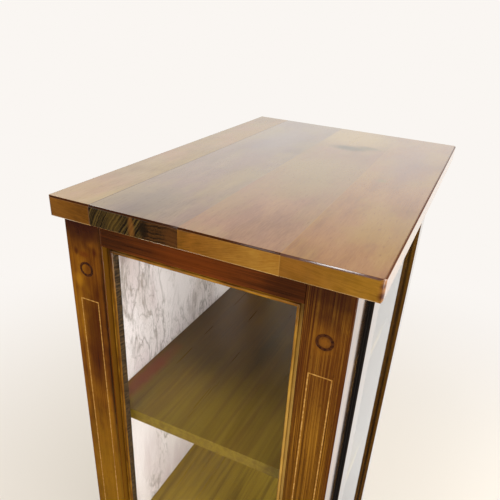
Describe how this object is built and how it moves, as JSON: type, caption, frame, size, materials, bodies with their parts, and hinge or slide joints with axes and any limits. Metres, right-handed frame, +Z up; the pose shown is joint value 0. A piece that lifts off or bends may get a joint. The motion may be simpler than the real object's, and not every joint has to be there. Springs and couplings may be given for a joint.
{
  "type": "display cabinet",
  "caption": "Free-standing glazed display cabinet with a board top, inlaid posts, glass ends, shelves, a lined back and a hinged glass door.",
  "frame": {"origin": "on the floor under the middle of the top board, which is also the middle of the plan", "axes": "+X to the right along the cabinet when facing the door, -Y out of the door side, +Y to the lined back, +Z up"},
  "size_m": [0.6, 0.4, 1.4],
  "materials": {
    "top_wood_front": "satin lacquered hardwood board",
    "top_wood_mid_front": "satin lacquered hardwood board",
    "top_wood_mid_back": "satin lacquered hardwood board, dark heartwood",
    "top_wood_back": "satin lacquered hardwood board",
    "dowel_wood": "plain beech dowel",
    "post_wood": "gloss lacquered brown hardwood",
    "rail_wood": "gloss lacquered dark brown hardwood",
    "bead_wood": "gloss lacquered golden brown moulding",
    "inner_bead_wood": "lacquered dark brown moulding",
    "string_wood": "pale string inlay under lacquer",
    "ring_wood": "dark ring inlay under lacquer",
    "door_wood": "gloss lacquered brown hardwood",
    "knob_wood": "turned and lacquered dark hardwood",
    "shelf_wood": "satin lacquered dark hardwood",
    "back_panel_wood": "plain stained plywood",
    "marble_lining": "printed white marble-effect facing with grey and pink veins",
    "glass": "clear float glass",
    "brass": "brushed brass",
    "steel": "zinc plated steel",
    "dark_plastic": "dark brown moulded plastic",
    "dust_strip": "black pile dust strip",
    "sealing_strip": "grey glazing seal"
  },
  "bodies": {
    "carcass": {"top_board_front": "top_wood_front", "top_board_mid_front": "top_wood_mid_front", "top_board_mid_back": "top_wood_mid_back", "top_board_back": "top_wood_back", "top_dowels": "dowel_wood", "post_front_left": "post_wood", "post_front_right": "post_wood", "stile_back_left": "post_wood", "stile_back_right": "post_wood", "ring_inlays": "ring_wood", "string_inlays": "string_wood", "foot_glides": "dark_plastic", "rail_top_left": "rail_wood", "rail_top_right": "rail_wood", "rail_bottom_left": "rail_wood", "rail_bottom_right": "rail_wood", "rail_top_front": "rail_wood", "rail_bottom_front": "rail_wood", "rail_top_back": "rail_wood", "rail_bottom_back": "rail_wood", "outer_beads_left": "bead_wood", "outer_beads_right": "bead_wood", "inner_beads_left": "inner_bead_wood", "inner_beads_right": "inner_bead_wood", "sealing_strips_left": "sealing_strip", "sealing_strips_right": "sealing_strip", "glass_left": "glass", "glass_right": "glass", "back_panel": "back_panel_wood", "marble_lining": "marble_lining", "bottom_board": "shelf_wood", "bottom_cleats": "rail_wood", "shelf_upper": "shelf_wood", "shelf_middle": "shelf_wood", "shelf_lower": "shelf_wood", "shelf_pins": "brass", "door_stop": "rail_wood", "magnetic_catch": "dark_plastic", "catch_magnet": "steel", "pivot_plate_top": "brass", "pivot_plate_bottom": "brass", "pivot_washer": "brass", "frame_screws": "brass"},
    "door": {"door_stile_left": "door_wood", "door_stile_right": "door_wood", "door_rail_top": "door_wood", "door_rail_bottom": "door_wood", "door_glass": "glass", "door_beads": "inner_bead_wood", "door_seal": "dust_strip", "door_knob": "knob_wood", "knob_screw": "steel", "strike_plate": "steel", "door_plate_top": "brass", "door_plate_bottom": "brass", "door_screws": "brass"}
  },
  "joints": [
    {"name": "door_hinge", "type": "hinge", "parent": "carcass", "child": "door", "pos_m": [0.199, -0.175, 0.7165], "axis": [0, 0, 1], "range_deg": [0, 105]}
  ]
}
